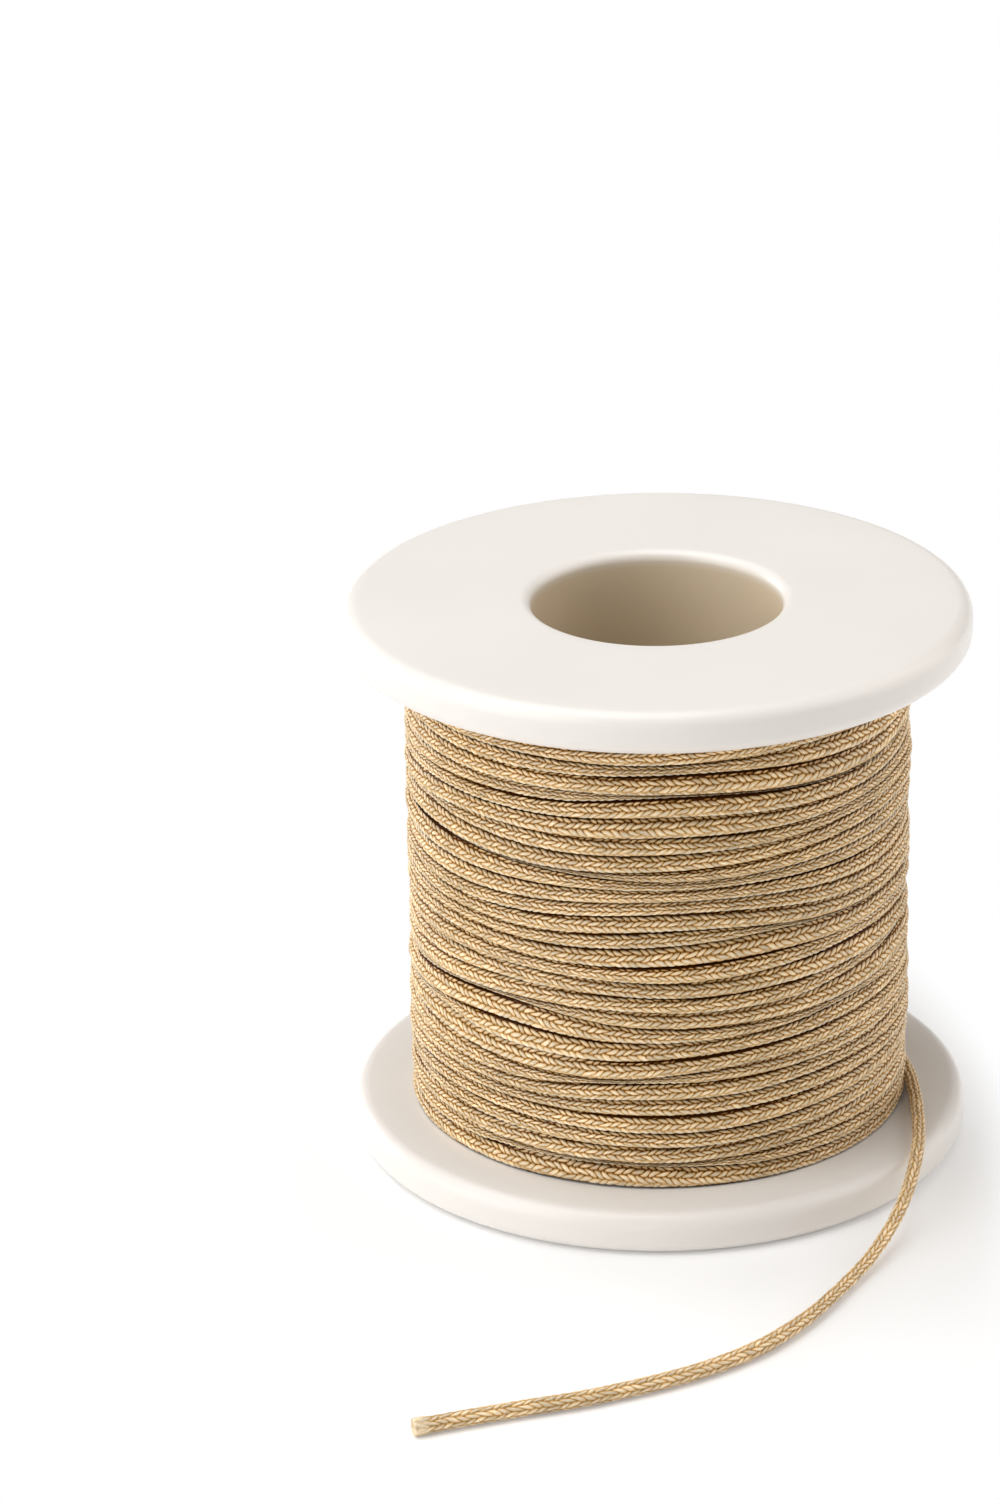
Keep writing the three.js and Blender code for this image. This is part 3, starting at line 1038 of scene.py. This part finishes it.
def paper_finish():
    """Matt white paper. Where the camera, a reflection or a clear surface sees it, plain
    white is mixed in: a fifth of it in the middle, and all of it past an oval about the
    spool's foot and the free end, with a smooth step between them."""
    oval_scale = (1.2, 0.55, 1.0)
    oval_shift = (0.0, 0.012, 0.0)
    shadow_ends = (0.043, 0.056)
    least_white = 0.2
    paper_white = (0.97, 0.97, 0.97, 1)
    plain_white = (1, 1, 1, 1)
    finish = bpy.data.materials.new("white paper")
    finish.use_nodes = True
    tree = finish.node_tree
    shader = tree.nodes["Principled BSDF"]
    shader.inputs["Base Color"].default_value = paper_white
    shader.inputs["Roughness"].default_value = 0.9
    shader.inputs["Specular IOR Level"].default_value = 0.1
    rays = new_node(tree, "LightPath").outputs
    seen = work_out(tree, "ADD", rays["Is Camera Ray"], rays["Is Glossy Ray"])
    seen = work_out(tree, "ADD", seen, rays["Is Transmission Ray"])
    seen = work_out(tree, "MINIMUM", seen, 1.0)
    where = new_node(tree, "TexCoord").outputs["Object"]
    narrowed = new_node(tree, "VectorMath", where, oval_scale, oval_shift, operation="MULTIPLY_ADD")
    length = new_node(tree, "VectorMath", narrowed.outputs[0], operation="LENGTH")
    away = length.outputs["Value"]
    plain = rescale(tree, away, *shadow_ends, least_white, 1.0, interpolation_type="SMOOTHSTEP")
    white_share = work_out(tree, "MULTIPLY", seen, plain)
    white = new_node(tree, "Emission", plain_white, 1.0)
    mixed = new_node(tree, "MixShader", white_share, shader.outputs[0], white.outputs[0])
    tree.links.new(mixed.outputs[0], tree.nodes["Material Output"].inputs["Surface"])
    return finish


def studio_world():
    """Plain white to the camera, and a faint warm white to everything else."""
    warm_white = (1.0, 0.96, 0.92, 1)
    plain_white = (1, 1, 1, 1)
    light_strength = 0.16
    world = bpy.data.worlds.new("studio")
    world.use_nodes = True
    tree = world.node_tree
    background = tree.nodes["Background"]
    to_camera = new_node(tree, "LightPath").outputs["Is Camera Ray"]
    colour = new_node(tree, "MixRGB", to_camera, warm_white, plain_white)
    tree.links.new(colour.outputs[0], background.inputs["Color"])
    strength = rescale(tree, to_camera, 0.0, 1.0, light_strength, 1.0)
    tree.links.new(strength, background.inputs["Strength"])
    return world


table_mesh.materials.append(paper_finish())
bpy.context.scene.world = studio_world()


lamp_target = Vector((0, 0, 0.03))
white_light = (1.0, 1.0, 1.0)
warm_light = (1.0, 0.97, 0.94)


def soft_lamp(name, place_at, size, power, colour):
    """A square area lamp that faces the middle of the spool."""
    data = bpy.data.lights.new(name, "AREA")
    data.size = size
    data.energy = power
    data.color = colour
    lamp = bpy.data.objects.new(name, data)
    lamp.location = place_at
    backwards = Vector(place_at) - lamp_target
    lamp.rotation_euler = backwards.to_track_quat("Z", "Y").to_euler()
    bpy.context.scene.collection.objects.link(lamp)


soft_lamp("overhead", (-0.27, 0.0, 1.05), 0.9, 7.7, white_light)
soft_lamp("left", (-0.7, -0.44, 0.45), 0.8, 4.6, white_light)
soft_lamp("rear left", (-0.65, 0.5, 0.2), 0.4, 2.0, white_light)
soft_lamp("front", (-0.1, -1.1, 0.12), 0.4, 0.6, warm_light)
soft_lamp("right", (0.8, 0.14, 0.4), 0.9, 4.2, warm_light)

bpy.context.scene.view_settings.view_transform = "Standard"
